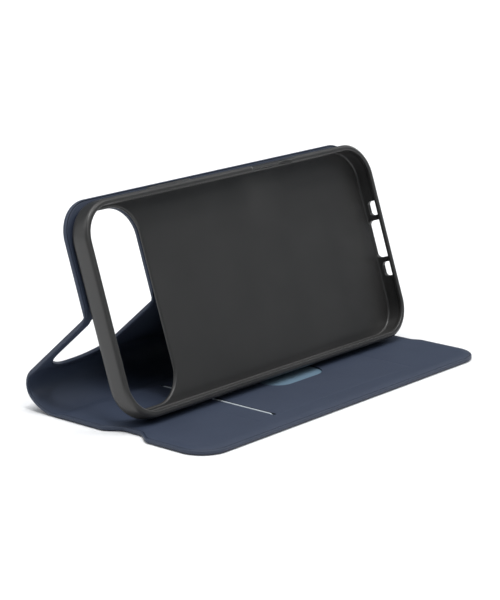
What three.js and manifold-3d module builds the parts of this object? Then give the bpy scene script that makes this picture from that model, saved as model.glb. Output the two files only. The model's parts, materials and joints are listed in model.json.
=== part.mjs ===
// Phone wallet case, standing on its unfolded cover with the empty tray leaning back.
// Millimetres, +Z up. X runs along the case's long sides, camera end at -X, port end at +X.
// -Y is the side that the open tray faces. The origin is the middle of the footprint, on the table.
import * as THREE from "three";
import { mergeVertices } from "three/addons/utils/BufferGeometryUtils.js";
import Module from "manifold-3d";

const wasm = await Module();
wasm.setup();

// Tray: the soft shell that grips the phone. "Up" in it is away from the spine side.
const trayLength = 159.6;
const trayWidth = 78.1;
const trayDepth = 8.8;
const trayCornerRadius = 13.8;
const trayWall = 1.7;
const trayFloor = 1.3;
const trayBackEdgeRadius = 3;
const trayRimEdgeRadius = 1.2;
const lipReach = 0.6;
const lipHeight = 1.5;
const floorFillet = 0.8;

// Camera cut-out, through the tray's floor and through the cover behind it.
const cameraLeft = 3.8;
const cameraRight = 33.3;
const cameraSideMargin = 3.5;
const cameraRadius = 11.5;

// Openings in the tray's walls: three slots at the port end, one dip in the upper long wall.
const slotTop = 7.3;
const portSlot = { bottom: 1.5, length: 15 };
const soundSlot = { bottom: 3.4, length: 5.7 };
const slotRib = 2;
const slotMiddle = -0.35;
const dipCentre = 22;
const dipLength = 23;
const dipDepth = 3.4;
const dipRamp = 4;
const dipRecess = 0.9;

// Button covers: centre along X, length, and the wall that they sit in.
const buttonHeight = 3;
const buttonMiddle = 4.7;
const buttonGap = 0.3;
const buttons = [
  { name: "power_button_cover", centre: -30.5, length: 22, wall: "upper", proud: 0.6 },
  { name: "action_button_cover", centre: -43.5, length: 8, wall: "lower", proud: 0.35 },
  { name: "volume_up_button_cover", centre: -28.5, length: 11, wall: "lower", proud: 0.35 },
  { name: "volume_down_button_cover", centre: -14.5, length: 11, wall: "lower", proud: 0.35 },
];

// Cover: one folded sheet of layers. The flap lies on the table, a soft bend turns up into the
// stand leg, and a crease behind the tray turns the leg into the back panel.
const coverOverhang = 0.75;
const coverLength = trayLength + 2 * coverOverhang;
const flapDepth = 72.2;
const lowerBendRadius = 18;
const lowerBendTurn = 40;
const upperBendRadius = 7;
const legLength = 36.7;
const legTurn = 139.4;
const trayTurn = 71.67;
const creaseHeightOnTray = 39.5;
const panelTopOverhang = 1.5;
const flapCornerRadius = 11;
const panelCornerRadius = 13;
const creaseGap = 0.15;
const bendGap = 0.15;

// Layers, measured from the cover's outer face.
const skin = { low: 0, high: 0.5 };
const bendLining = { low: 0.55, high: 0.95 };
const flapBoard = { low: 0.55, high: 1.05 };
const pocketFrame = { low: 1.1, high: 1.65 };
const pocketLiner = { low: 1.1, high: 1.25 };
const flapLining = { low: 1.7, high: 2.1 };
const legBoard = { low: 0.55, high: 1.05 };
const legLining = { low: 1.1, high: 1.5 };
const panelBoard = { low: 0.55, high: 1.45 };
const adhesive = { low: 1.5, high: 1.75 };
const trayBack = 1.8;
const boardInset = 1.2;

// Flap details.
const flapMiddle = -5.8;
const earpieceNotch = { middle: flapMiddle + 0.4, length: 22.6, depth: 4.2, ramp: 8 };
const portNotch = { middle: flapMiddle, length: 17, depth: 1.7, ramp: 5 };
const cardWidth = 54;
const cardLength = 85.6;
const slitX = -32.75;
const slitLength = 55;
const slitWidth = 1.7;
const pocketMiddleX = 1.5;
const pocketClearance = 1.5;
const windowMiddleX = 7.4;
const windowLength = 29.6;
const windowWidth = 15.6;
const windowRadius = 7.2;

// Closing magnets in the flap and the steel plates that they meet in the back panel.
const magnetSize = { length: 20, width: 4, thickness: 0.45 };
const magnetCentres = { left: -20, right: 45 };
const magnetFromFrontEdge = 5.1;
const keeperFromTopEdge = 4.4;
const magnetGap = 0.15;

// Worked out from the driving dimensions.
const rad = THREE.MathUtils.degToRad;
const bendReach =
  lowerBendRadius * Math.sin(rad(lowerBendTurn)) +
  upperBendRadius * (1 - Math.sin(rad(lowerBendTurn)));
const flapFront = -(flapDepth + bendReach) / 2;
const flapBack = flapFront + flapDepth;
const upperBendTurn = legTurn - lowerBendTurn;
const coverHalf = coverLength / 2;
const trayHalf = trayLength / 2;
const trayBottom = -creaseHeightOnTray;
const trayTop = trayBottom + trayWidth;
const panelTop = trayTop + panelTopOverhang;
const cameraEdges = {
  left: -trayHalf + cameraLeft,
  right: -trayHalf + cameraRight,
  bottom: trayBottom + cameraSideMargin,
  top: trayTop - cameraSideMargin,
};
const upperBendCentre = [
  flapBack + (lowerBendRadius - upperBendRadius) * Math.sin(rad(lowerBendTurn)),
  lowerBendRadius - (lowerBendRadius - upperBendRadius) * Math.cos(rad(lowerBendTurn)),
];
const crease = [
  upperBendCentre[0] + upperBendRadius * Math.sin(rad(legTurn)) + legLength * Math.cos(rad(legTurn)),
  upperBendCentre[1] - upperBendRadius * Math.cos(rad(legTurn)) + legLength * Math.sin(rad(legTurn)),
];

// Turns an outline drawn in X and Y to lie in Y and Z, with its thickness along X.
const toSide = new THREE.Matrix4().makeBasis(
  new THREE.Vector3(0, 1, 0), new THREE.Vector3(0, 0, 1), new THREE.Vector3(1, 0, 0),
);

const CURVE_STEPS = 7;
const BEND_STEP = 7;

const looks = {
  navyOuter: { color: 0x272b3b, roughness: 0.55, metalness: 0 },
  navyInner: { color: 0x3a4154, roughness: 0.7, metalness: 0 },
  lightBlue: { color: 0x6f93ac, roughness: 0.8, metalness: 0 },
  trayGrey: { color: 0x3a3a3c, roughness: 0.5, metalness: 0 },
  board: { color: 0x8d8a80, roughness: 0.9, metalness: 0 },
  glue: { color: 0xd8d6cc, roughness: 0.4, metalness: 0 },
  magnet: { color: 0x9a9ca0, roughness: 0.35, metalness: 0.9 },
};

// A closed three.js geometry as a manifold-3d solid, for cutting and joining.
function solid(geometry) {
  const bare = geometry.clone();
  bare.deleteAttribute("normal");
  bare.deleteAttribute("uv");
  const merged = mergeVertices(bare, 1e-4);
  return new wasm.Manifold(
    new wasm.Mesh({
      numProp: 3,
      vertProperties: merged.attributes.position.array,
      triVerts: new Uint32Array(merged.index.array),
    }),
  );
}

function meshOf(name, body, look) {
  const made = body.getMesh();
  const geometry = new THREE.BufferGeometry();
  geometry.setAttribute("position", new THREE.BufferAttribute(made.vertProperties, 3));
  geometry.setIndex(new THREE.BufferAttribute(made.triVerts, 1));
  geometry.computeVertexNormals();
  const mesh = new THREE.Mesh(geometry, new THREE.MeshStandardMaterial(look));
  mesh.name = name;
  return mesh;
}

// A flat layer: an outline in X and Y, from one height to another.
function plate(outline, low, high) {
  const geometry = new THREE.ExtrudeGeometry(outline, {
    depth: high - low,
    bevelEnabled: false,
    curveSegments: CURVE_STEPS,
  });
  return solid(geometry.translate(0, 0, low));
}

// An outline in X and Y with round corners, given by its edges and one radius for each pair of ends.
function roundedOutline(left, right, front, back, frontRadius, backRadius) {
  const outline = new THREE.Shape();
  outline.moveTo(left + frontRadius, front);
  outline.lineTo(right - frontRadius, front);
  if (frontRadius) outline.absarc(right - frontRadius, front + frontRadius, frontRadius, -Math.PI / 2, 0);
  outline.lineTo(right, back - backRadius);
  if (backRadius) outline.absarc(right - backRadius, back - backRadius, backRadius, 0, Math.PI / 2);
  outline.lineTo(left + backRadius, back);
  if (backRadius) outline.absarc(left + backRadius, back - backRadius, backRadius, Math.PI / 2, Math.PI);
  outline.lineTo(left, front + frontRadius);
  if (frontRadius) outline.absarc(left + frontRadius, front + frontRadius, frontRadius, Math.PI, 1.5 * Math.PI);
  return outline;
}

// A block with round corners in plan whose low and high edges are rounded off.
function softBlock(halfX, yLow, yHigh, radius, low, high, edge) {
  const outline = roundedOutline(
    -halfX + edge, halfX - edge, yLow + edge, yHigh - edge, radius - edge, radius - edge,
  );
  const geometry = new THREE.ExtrudeGeometry(outline, {
    depth: high - low - 2 * edge,
    bevelEnabled: true,
    bevelThickness: edge,
    bevelSize: edge,
    bevelSegments: 3,
    curveSegments: CURVE_STEPS,
  });
  return solid(geometry.translate(0, 0, low + edge));
}

// Arc points in Y and Z. An angle of 0 is the lowest point, and angles grow towards +Y.
function arcPoints([y, z], radius, fromTurn, toTurn) {
  const steps = Math.max(1, Math.ceil(Math.abs(toTurn - fromTurn) / BEND_STEP));
  return Array.from({ length: steps + 1 }, (_, i) => {
    const turn = rad(fromTurn + ((toTurn - fromTurn) * i) / steps);
    return [y + radius * Math.sin(turn), z - radius * Math.cos(turn)];
  });
}

// A bent layer across the whole cover, between two offsets from the cover's outer face.
function bentLayer(layer, pointsAt, halfX = coverHalf) {
  const points = [...pointsAt(layer.low), ...pointsAt(layer.high).reverse()];
  const profile = new THREE.Shape(points.map(([y, z]) => new THREE.Vector2(y, z)));
  const geometry = new THREE.ExtrudeGeometry(profile, { depth: 2 * halfX, bevelEnabled: false });
  return solid(geometry.applyMatrix4(toSide).translate(-halfX, 0, 0));
}

// The flap's outline, with the shallow notches in its two short edges.
function flapOutline(inset, back) {
  const left = -coverHalf + inset;
  const right = coverHalf - inset;
  const front = flapFront + inset;
  const radius = flapCornerRadius - inset;
  const outline = new THREE.Shape();
  outline.moveTo(left + radius, front);
  outline.lineTo(right - radius, front);
  outline.absarc(right - radius, front + radius, radius, -Math.PI / 2, 0);
  notch(outline, right, -1, 1, portNotch);
  outline.lineTo(right, back);
  outline.lineTo(left, back);
  notch(outline, left, 1, -1, earpieceNotch);
  outline.lineTo(left, front + radius);
  outline.absarc(left + radius, front + radius, radius, Math.PI, 1.5 * Math.PI);
  return outline;
}

// An S-shaped step in from a short edge and out again, walking the edge in the given direction.
function notch(outline, x, inward, along, { middle, length, depth, ramp }) {
  const start = middle - (along * length) / 2;
  const end = middle + (along * length) / 2;
  const deep = x + inward * depth;
  const handle = (along * ramp) / 3;
  outline.lineTo(x, start);
  outline.bezierCurveTo(x, start + handle, deep, start + 2 * handle, deep, start + 3 * handle);
  outline.lineTo(deep, end - 3 * handle);
  outline.bezierCurveTo(deep, end - 2 * handle, x, end - handle, x, end);
}

// The bend layers that belong to the flap: the first half of the lower bend.
function flapBendPoints(offset) {
  const start = [flapBack - 1, offset];
  const bendEnd = lowerBendTurn / 2 - bendGap;
  return [start, ...arcPoints([flapBack, lowerBendRadius], lowerBendRadius - offset, 0, bendEnd)];
}

// The layers of the spine: from the middle of the lower bend to the middle of the upper bend.
function spinePoints(offset) {
  const lower = arcPoints(
    [flapBack, lowerBendRadius], lowerBendRadius - offset, lowerBendTurn / 2 + bendGap, lowerBendTurn,
  );
  const upper = arcPoints(
    upperBendCentre, upperBendRadius - offset, lowerBendTurn, lowerBendTurn + upperBendTurn / 2 - bendGap,
  );
  return [...lower, ...upper.slice(1)];
}

// The leg's own half of the upper bend. In the leg's frame Y runs to the crease and +Z faces the tray.
function legBendPoints(offset) {
  const start = -upperBendTurn / 2 + bendGap;
  const bend = arcPoints([-legLength, upperBendRadius], upperBendRadius - offset, start, 0);
  return [...bend, [-legLength + 1, offset]];
}

// The camera cut-out as a tool, grown by a margin and tall enough to pass through any layer.
function cameraTool(margin) {
  const outline = roundedOutline(
    cameraEdges.left - margin, cameraEdges.right + margin,
    cameraEdges.bottom - margin, cameraEdges.top + margin,
    cameraRadius + margin, cameraRadius + margin,
  );
  return plate(outline, -20, 20);
}

function flapBody() {
  const flapSkin = plate(flapOutline(0, flapBack), skin.low, skin.high)
    .add(bentLayer(skin, flapBendPoints));
  const bendPart = bentLayer(bendLining, flapBendPoints, coverHalf - boardInset);
  const boardBack = flapBack - 1.5;
  const pocketBack = flapMiddle + cardWidth / 2 + pocketClearance;
  const pocketFront = flapMiddle - cardWidth / 2 - pocketClearance;
  const pocketLeft = pocketMiddleX - cardLength / 2 - pocketClearance;
  const pocketRight = pocketMiddleX + cardLength / 2 + pocketClearance;
  const liner = roundedOutline(pocketLeft, pocketRight, pocketFront, pocketBack, 3, 3);
  const pocketHole = roundedOutline(
    pocketLeft - magnetGap, pocketRight + magnetGap, pocketFront - magnetGap, pocketBack + magnetGap,
    3, 3,
  );
  const slit = roundedOutline(
    slitX - slitWidth / 2, slitX + slitWidth / 2,
    flapMiddle - slitLength / 2, flapMiddle + slitLength / 2, 0, 0,
  );
  const window = roundedOutline(
    windowMiddleX - windowLength / 2, windowMiddleX + windowLength / 2,
    flapMiddle - windowWidth / 2, flapMiddle + windowWidth / 2,
    windowRadius, windowRadius,
  );
  const magnetY = flapFront + magnetFromFrontEdge;
  let frame = plate(flapOutline(boardInset, boardBack), pocketFrame.low, pocketFrame.high)
    .subtract(plate(pocketHole, 0, 3));
  const body = new THREE.Group();
  for (const [side, x] of Object.entries(magnetCentres)) {
    frame = frame.subtract(plate(barOutline(x, magnetY, magnetGap), 0, 3));
    const magnet = plate(
      barOutline(x, magnetY, 0), pocketFrame.low, pocketFrame.low + magnetSize.thickness,
    );
    body.add(meshOf("flap_magnet_" + side, magnet, looks.magnet));
  }
  const lining = plate(flapOutline(0, boardBack), flapLining.low, flapLining.high)
    .subtract(plate(slit, 0, 3))
    .subtract(plate(window, 0, 3));
  body.add(
    meshOf("flap_outer_skin", flapSkin, looks.navyOuter),
    meshOf("flap_bend_lining", bendPart, looks.navyInner),
    meshOf("flap_board", plate(flapOutline(boardInset, boardBack - 1), flapBoard.low, flapBoard.high),
      looks.board),
    meshOf("flap_pocket_frame", frame, looks.board),
    meshOf("flap_pocket_liner", plate(liner, pocketLiner.low, pocketLiner.high), looks.lightBlue),
    meshOf("flap_inner_lining", lining, looks.navyInner),
  );
  return body;
}

function barOutline(x, y, margin) {
  const halfLength = magnetSize.length / 2 + margin;
  const halfWidth = magnetSize.width / 2 + margin;
  return roundedOutline(x - halfLength, x + halfLength, y - halfWidth, y + halfWidth, 0.8, 0.8);
}

function spineBody() {
  const body = new THREE.Group();
  body.add(
    meshOf("spine_outer_skin", bentLayer(skin, spinePoints), looks.navyOuter),
    meshOf("spine_lining", bentLayer(bendLining, spinePoints, coverHalf - boardInset), looks.navyInner),
  );
  return body;
}

function legBody() {
  const legSkin = plate(
    roundedOutline(-coverHalf, coverHalf, -legLength, -creaseGap, 0, 0), skin.low, skin.high,
  )
    .add(bentLayer(skin, legBendPoints))
    .subtract(cameraTool(0));
  const board = plate(
    roundedOutline(
      -coverHalf + boardInset, coverHalf - boardInset, -legLength + boardInset, -2 * boardInset, 1, 1,
    ),
    legBoard.low, legBoard.high,
  ).subtract(cameraTool(boardInset));
  const [mainBoard] = board.decompose().sort((a, b) => b.volume() - a.volume());
  const lining = plate(
    roundedOutline(-coverHalf, coverHalf, -legLength, -creaseGap, 0, 0), legLining.low, legLining.high,
  ).subtract(cameraTool(0));
  const body = new THREE.Group();
  body.add(
    meshOf("leg_outer_skin", legSkin, looks.navyOuter),
    meshOf("leg_board", mainBoard, looks.board),
    meshOf("leg_lining", lining, looks.navyInner),
    meshOf("leg_bend_lining", bentLayer(bendLining, legBendLiningPoints, coverHalf - boardInset),
      looks.navyInner),
  );
  body.position.set(0, ...crease);
  body.rotation.x = rad(legTurn);
  return body;
}

// The leg's bend lining stops where the flat part of the leg begins.
function legBendLiningPoints(offset) {
  return legBendPoints(offset).slice(0, -1);
}

function backPanel() {
  const keeperY = panelTop - keeperFromTopEdge;
  const panelSkin = plate(
    roundedOutline(-coverHalf, coverHalf, creaseGap, panelTop, 0, panelCornerRadius), skin.low, skin.high,
  ).subtract(cameraTool(0));
  let board = plate(
    roundedOutline(
      -coverHalf + boardInset, coverHalf - boardInset, 2 * boardInset, panelTop - boardInset,
      1, panelCornerRadius - boardInset,
    ),
    panelBoard.low, panelBoard.high,
  ).subtract(cameraTool(boardInset));
  const panel = new THREE.Group();
  for (const [side, x] of Object.entries(magnetCentres)) {
    board = board.subtract(plate(barOutline(x, keeperY, magnetGap), 0, 3));
    const keeper = plate(
      barOutline(x, keeperY, 0), panelBoard.low, panelBoard.low + magnetSize.thickness,
    );
    panel.add(meshOf("back_keeper_plate_" + side, keeper, looks.magnet));
  }
  const glueLeft = cameraEdges.right + 2;
  const glueRight = trayHalf - trayBackEdgeRadius - 1;
  const glueTop = trayTop - trayBackEdgeRadius - 1;
  const glueOutline = roundedOutline(glueLeft, glueRight, 1, glueTop, 1, trayCornerRadius - 4);
  panel.add(
    meshOf("back_outer_skin", panelSkin, looks.navyOuter),
    meshOf("back_board", board, looks.board),
    meshOf("back_adhesive_sheet", plate(glueOutline, adhesive.low, adhesive.high), looks.glue),
  );
  return panel;
}

// The tray's outer block: generous radius on the back edges, small radius on the rim.
function trayBlock() {
  const past = 6;
  const backShaped = softBlock(
    trayHalf, trayBottom, trayTop, trayCornerRadius, trayBack, trayBack + trayDepth + past,
    trayBackEdgeRadius,
  );
  const rimShaped = softBlock(
    trayHalf, trayBottom, trayTop, trayCornerRadius, trayBack - past, trayBack + trayDepth,
    trayRimEdgeRadius,
  );
  return backShaped.intersect(rimShaped);
}

// The phone's space, with a fillet round the floor and a smaller mouth under the lip.
function trayCavity() {
  const floor = trayBack + trayFloor;
  const rim = trayBack + trayDepth;
  const radius = trayCornerRadius - trayWall;
  const pocket = softBlock(
    trayHalf - trayWall, trayBottom + trayWall, trayTop - trayWall, radius,
    floor, rim - lipHeight, floorFillet,
  );
  const straight = plate(
    roundedOutline(
      -trayHalf + trayWall, trayHalf - trayWall, trayBottom + trayWall, trayTop - trayWall,
      radius, radius,
    ),
    floor + floorFillet, rim - lipHeight,
  );
  const lip = trayWall + lipReach;
  const mouth = plate(
    roundedOutline(
      -trayHalf + lip, trayHalf - lip, trayBottom + lip, trayTop - lip, radius - lipReach, radius - lipReach,
    ),
    floor + floorFillet, rim + 1,
  );
  return pocket.add(straight).add(mouth);
}

// A slot through the port end's wall: its middle along the wall, its length and its lower side.
function portEndSlot(middle, { bottom, length }) {
  const outline = roundedOutline(
    middle - length / 2, middle + length / 2, trayBack + bottom, trayBack + slotTop, 1.8, 0.4,
  );
  const geometry = new THREE.ExtrudeGeometry(outline, {
    depth: 3 * trayWall + 2,
    bevelEnabled: false,
    curveSegments: 4,
  });
  return solid(geometry.applyMatrix4(toSide).translate(trayHalf - 3 * trayWall, 0, 0));
}

// The dip in the upper long wall, where a finger reaches the touch control beside the glass.
function wallDip() {
  const rim = trayBack + trayDepth;
  const half = dipLength / 2;
  const dip = new THREE.Shape();
  dip.moveTo(dipCentre - half - 1, rim + 2);
  dip.lineTo(dipCentre - half, rim);
  dip.bezierCurveTo(
    dipCentre - half + dipRamp / 2, rim, dipCentre - half + dipRamp / 2, rim - dipDepth,
    dipCentre - half + dipRamp, rim - dipDepth,
  );
  dip.lineTo(dipCentre + half - dipRamp, rim - dipDepth);
  dip.bezierCurveTo(
    dipCentre + half - dipRamp / 2, rim - dipDepth, dipCentre + half - dipRamp / 2, rim,
    dipCentre + half, rim,
  );
  dip.lineTo(dipCentre + half + 1, rim + 2);
  const geometry = new THREE.ExtrudeGeometry(dip, {
    depth: 4 * trayWall,
    bevelEnabled: false,
    curveSegments: CURVE_STEPS,
  });
  return solid(geometry.rotateX(Math.PI / 2).translate(0, trayTop + trayWall, 0));
}

// The shallow recess under the dip, in the wall's outer face.
function dipHollow() {
  const half = dipLength / 2;
  const deep = trayTop - dipRecess;
  const handle = dipRamp / 2;
  const hollow = new THREE.Shape();
  hollow.moveTo(dipCentre + half, trayTop + 1);
  hollow.lineTo(dipCentre - half, trayTop + 1);
  hollow.lineTo(dipCentre - half, trayTop);
  hollow.bezierCurveTo(
    dipCentre - half + handle, trayTop, dipCentre - half + handle, deep,
    dipCentre - half + dipRamp, deep,
  );
  hollow.lineTo(dipCentre + half - dipRamp, deep);
  hollow.bezierCurveTo(
    dipCentre + half - handle, deep, dipCentre + half - handle, trayTop,
    dipCentre + half, trayTop,
  );
  return plate(hollow, trayBack + trayBackEdgeRadius, trayBack + trayDepth + 1);
}

// A button cover is a pill that stands through the wall, a little proud of it.
function pill(length, height, depth) {
  const outline = roundedOutline(
    -length / 2, length / 2, -height / 2, height / 2, height / 2 - 0.05, height / 2 - 0.05,
  );
  const geometry = new THREE.ExtrudeGeometry(outline, {
    depth,
    bevelEnabled: false,
    curveSegments: CURVE_STEPS,
  });
  return geometry.rotateX(-Math.PI / 2);
}

function buttonPlace({ centre, wall }) {
  const z = trayBack + buttonMiddle;
  const y = wall === "upper" ? trayTop - trayWall : trayBottom + trayWall;
  return { x: centre, y, z, turned: wall === "lower" };
}

function placedPill(button, length, height, depth, start) {
  const place = buttonPlace(button);
  const geometry = pill(length, height, depth).translate(0, start, 0);
  if (place.turned) geometry.rotateX(Math.PI);
  return solid(geometry.translate(place.x, place.y, place.z));
}

function trayBody() {
  const soundOffset = (portSlot.length + soundSlot.length) / 2 + slotRib;
  const middle = (trayBottom + trayTop) / 2 + slotMiddle;
  let tray = trayBlock()
    .subtract(trayCavity())
    .subtract(cameraTool(0))
    .subtract(portEndSlot(middle, portSlot))
    .subtract(portEndSlot(middle - soundOffset, soundSlot))
    .subtract(portEndSlot(middle + soundOffset, soundSlot))
    .subtract(wallDip())
    .subtract(dipHollow());
  const body = new THREE.Group();
  for (const button of buttons) {
    const { length, proud } = button;
    const hole = placedPill(
      button, length + 2 * buttonGap, buttonHeight + 2 * buttonGap, 3 * trayWall, -trayWall,
    );
    tray = tray.subtract(hole);
    const cover = placedPill(button, length, buttonHeight, trayWall + proud, 0);
    body.add(meshOf(button.name, cover, looks.trayGrey));
  }
  body.add(meshOf("tray_shell", tray, looks.trayGrey), backPanel());
  body.position.set(0, ...crease);
  body.rotation.x = rad(trayTurn);
  return body;
}

const phoneWalletCase = new THREE.Group();
phoneWalletCase.add(flapBody(), spineBody(), legBody(), trayBody());

export default phoneWalletCase;
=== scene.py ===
"""Looks of the phone wallet case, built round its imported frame.

Shapes are worked out in millimetres and handed to Blender in metres. The cover is drawn flat, with x across
it and s along its outer face from the flap's front edge, and is then folded over its bends and its crease.
The tray is drawn in its own leaning frame: x, "up" away from the spine, and height above its back.
"""

import json
import math

import bmesh
import bpy
import numpy as np
from mathutils import Matrix, Vector, geometry

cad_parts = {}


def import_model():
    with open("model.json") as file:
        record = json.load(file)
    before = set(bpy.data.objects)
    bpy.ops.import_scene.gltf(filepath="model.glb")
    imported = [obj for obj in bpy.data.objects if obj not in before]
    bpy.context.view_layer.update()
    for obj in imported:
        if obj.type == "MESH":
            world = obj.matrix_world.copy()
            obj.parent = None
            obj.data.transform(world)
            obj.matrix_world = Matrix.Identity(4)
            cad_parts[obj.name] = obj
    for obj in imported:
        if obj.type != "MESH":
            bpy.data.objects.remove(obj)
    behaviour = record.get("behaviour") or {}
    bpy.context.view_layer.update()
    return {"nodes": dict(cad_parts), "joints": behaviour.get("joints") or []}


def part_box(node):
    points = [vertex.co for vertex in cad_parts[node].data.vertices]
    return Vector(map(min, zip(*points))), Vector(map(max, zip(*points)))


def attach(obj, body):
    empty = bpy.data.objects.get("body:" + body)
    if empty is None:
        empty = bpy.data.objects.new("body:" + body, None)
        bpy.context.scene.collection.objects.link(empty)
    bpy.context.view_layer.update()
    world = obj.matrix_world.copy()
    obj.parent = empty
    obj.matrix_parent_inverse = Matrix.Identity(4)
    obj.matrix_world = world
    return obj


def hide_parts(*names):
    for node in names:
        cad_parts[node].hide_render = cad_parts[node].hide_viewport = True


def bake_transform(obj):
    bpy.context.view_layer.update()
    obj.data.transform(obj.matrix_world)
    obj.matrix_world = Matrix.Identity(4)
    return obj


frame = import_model()

MM = 0.001
TINY = 1e-4
ON_EDGE = 0.003
WELD = 0.004
CHART_SCALE = 0.01

# -------- what the frame says, in millimetres
joints = {joint["name"]: joint for joint in frame["joints"]}


def box_mm(node):
    low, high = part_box(node)
    return np.array(low) / MM, np.array(high) / MM


COVER_HALF = box_mm("flap_outer_skin")[1][0]
FLAP_FRONT = box_mm("flap_outer_skin")[0][1]
TRAY_HALF = box_mm("tray_shell")[1][0]
CREASE = np.array(joints["crease"]["pos_m"][1:]) / MM
UP = np.array(joints["action_button_press"]["axis"][1:])
TRAY_TURN = math.degrees(math.atan2(UP[1], UP[0]))
LOWER_TURN = -joints["flap_hinge"]["range_deg"][0]
UPPER_TURN = -joints["leg_hinge"]["range_deg"][0]
LEG_TURN = LOWER_TURN + UPPER_TURN

# -------- driving sizes, in millimetres
FLAP_DEPTH = 72.2
LOWER_RADIUS = 18
UPPER_RADIUS = 7
LEG_LENGTH = 36.7
CREASE_RADIUS = 0.8
TRAY_BOTTOM = -39.5
TRAY_TOP = 38.6
PANEL_TOP = 40.1

FLAP_CORNER = 11
PANEL_CORNER = 13
FLAP_MIDDLE = -5.8 - FLAP_FRONT
EARPIECE_NOTCH = {"middle": FLAP_MIDDLE + 0.4, "length": 22.6, "depth": 4.2, "ramp": 8}
PORT_NOTCH = {"middle": FLAP_MIDDLE, "length": 17, "depth": 1.7, "ramp": 5}

CAMERA_LEFT = -TRAY_HALF + 3.8
CAMERA_RIGHT = -TRAY_HALF + 33.3
CAMERA_LOW = TRAY_BOTTOM + 3.5
CAMERA_HIGH = TRAY_TOP - 3.5
CAMERA_RADIUS = 11.5

OPENING_WAVE = {"height": 0.45, "fade": 8, "turns": 1.5, "shift": 0.6}

FULL = {"flap": 2.1, "bend": 0.98, "leg": 1.5, "crease": 0.92, "panel": 1.75}
SKIN = 0.5
LINING = 0.4
LINING_INSET = 0.75
TUCK_END = LINING_INSET + 0.33
LINING_ROUND = 0.2
EDGE_THICKNESS = 1.6
EDGE_TAPER = 3.6
EDGE_ROUND_OUTSIDE = 0.35
EDGE_ROUND_INSIDE = 0.5
GLUE = 0.05
BEAD = {"height": 0.7, "reach": 3, "rise": 10, "soft": 1.5, "most": 1.45}
WAVE_HEIGHT = 0.035
BEND_RIPPLE = {"height": 0.13, "length": 12, "slant": 0.22}
BOARD_INSET = 1.2
BOARD_LOW = 0.53
BOARD_TOP = 1.05
UNDER_LINING = 0.43
FRAME_LOW = 1.08
THINNEST_BOARD = 0.05

SLIT_X = -32.75
SLIT_LENGTH = 55
SLIT_WIDTH = 1.7
SLIT_FOLD = {"x": -33.17, "half": 0.4, "side": 0.14, "top": 2.2}
WINDOW_X = 7.4
WINDOW_LENGTH = 29.6
WINDOW_WIDTH = 15.6
WINDOW_RADIUS = 7.2
MAGNET_X = (-20, 45)
MAGNET_HOLE = (20.4, 4.4)
MAGNET_HOLE_CORNER = 0.5
MAGNET_FROM_FRONT = 5.1
KEEPER_FROM_TOP = 4.4
POCKET = {"left": -42.8, "right": 45.8, "low": FLAP_MIDDLE - 28.5, "high": FLAP_MIDDLE + 28.5}
POCKET_CORNER = 3
POCKET_GROOVE = {"depth": 0.1, "half": 0.7}
CLOTH = {"low": 1.1, "high": 1.3, "over_window": 0.3, "edge": 0.08}

TRAY_BACK = 1.8
TRAY_DEPTH = 8.8
TRAY_CORNER = 13.8
TRAY_WALL = 1.7
TRAY_FLOOR = 1.3
BACK_EDGE = 2.8
RIM_EDGE = 1.2
LIP_REACH = 0.6
LIP_FULL = 1.0
LIP_RAMP = 0.9
LIP_HEIGHT = LIP_FULL + LIP_RAMP
LIP_EDGE = 0.4
FLOOR_FILLET = 0.8
WALL_CROWN = 0.1
DIP = {"centre": 22, "length": 23, "depth": 3.4, "ramp": 4}
HOLLOW = {"start": 10, "start_ramp": 5, "end": 38, "end_ramp": 7, "depth": 0.8, "rim_edge": 0.35}
HOLE_EDGES = {"front": (0.7, 0.8), "back": (0.3, 0.3)}
SLOT_EDGE = 0.25
PORT_SLOT = {"length": 15, "low": 1.72, "corner": 1.8, "off_middle": -0.35}
SIDE_SLOT = {"length": 5.7, "low": 3.4, "corner": 1.5, "apart": 2}
SLOT_TOP = 7.15
SLOT_TOP_CORNER = 0.5

# Each button cover: its wall (1 is the upper one, -1 the lower), its middle along the wall, its length, and
# how far it stands out.
BUTTONS = {
    "power_button": (1, -30.5, 22, 0.6),
    "action_button": (-1, -43.5, 8, 0.35),
    "volume_up_button": (-1, -28.5, 11, 0.35),
    "volume_down_button": (-1, -14.5, 11, 0.35),
}
BUTTON_HEIGHT = 3
BUTTON_MIDDLE = 4.7
BUTTON_GAP = 0.3
BUTTON_CROWN = {"reach": 1.1, "low": 0.1, "top": 0.004, "top_reach": 1.25}


# -------- small geometry helpers
def ease(t):
    t = np.clip(t, 0, 1)
    return t * t * (3 - 2 * t)


def eased(value, keys):
    """Smooth steps through (place, height) keys."""
    result = np.full(np.shape(value), float(keys[0][1]))
    for (place, height), (next_place, next_height) in zip(keys, keys[1:]):
        result += (next_height - height) * ease((value - place) / (next_place - place))
    return result


def line(start, end, step):
    """Points from start towards end, without the end."""
    start, end = np.array(start, float), np.array(end, float)
    count = max(1, math.ceil(np.linalg.norm(end - start) / step))
    return start + (end - start) * (np.arange(count) / count)[:, None]


def arc(centre, radius, start, end, step=5):
    """Points on an arc between two angles in degrees, without the end."""
    count = max(2, math.ceil(abs(end - start) / step))
    angles = np.radians(start + (end - start) * np.arange(count) / count)
    return np.array(centre) + radius * np.stack([np.cos(angles), np.sin(angles)], -1)


def rounded(left, right, low, high, a, b, step=1.5):
    """An outline with corners of radius a below and b above, walked with its inside on the left."""
    return np.vstack([
        line((left + a, low), (right - a, low), step),
        arc((right - a, low + a), a, -90, 0),
        line((right, low + a), (right, high - b), step),
        arc((right - b, high - b), b, 0, 90),
        line((right - b, high), (left + b, high), step),
        arc((left + b, high - b), b, 90, 180),
        line((left, high - b), (left, low + a), step),
        arc((left + a, low + a), a, 180, 270),
    ])


def hole_about(x, y, length, width, radius, step):
    """A hole with round corners about its middle, walked with the material on its left."""
    return rounded(x - length / 2, x + length / 2, y - width / 2, y + width / 2, radius, radius, step)[::-1]


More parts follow.
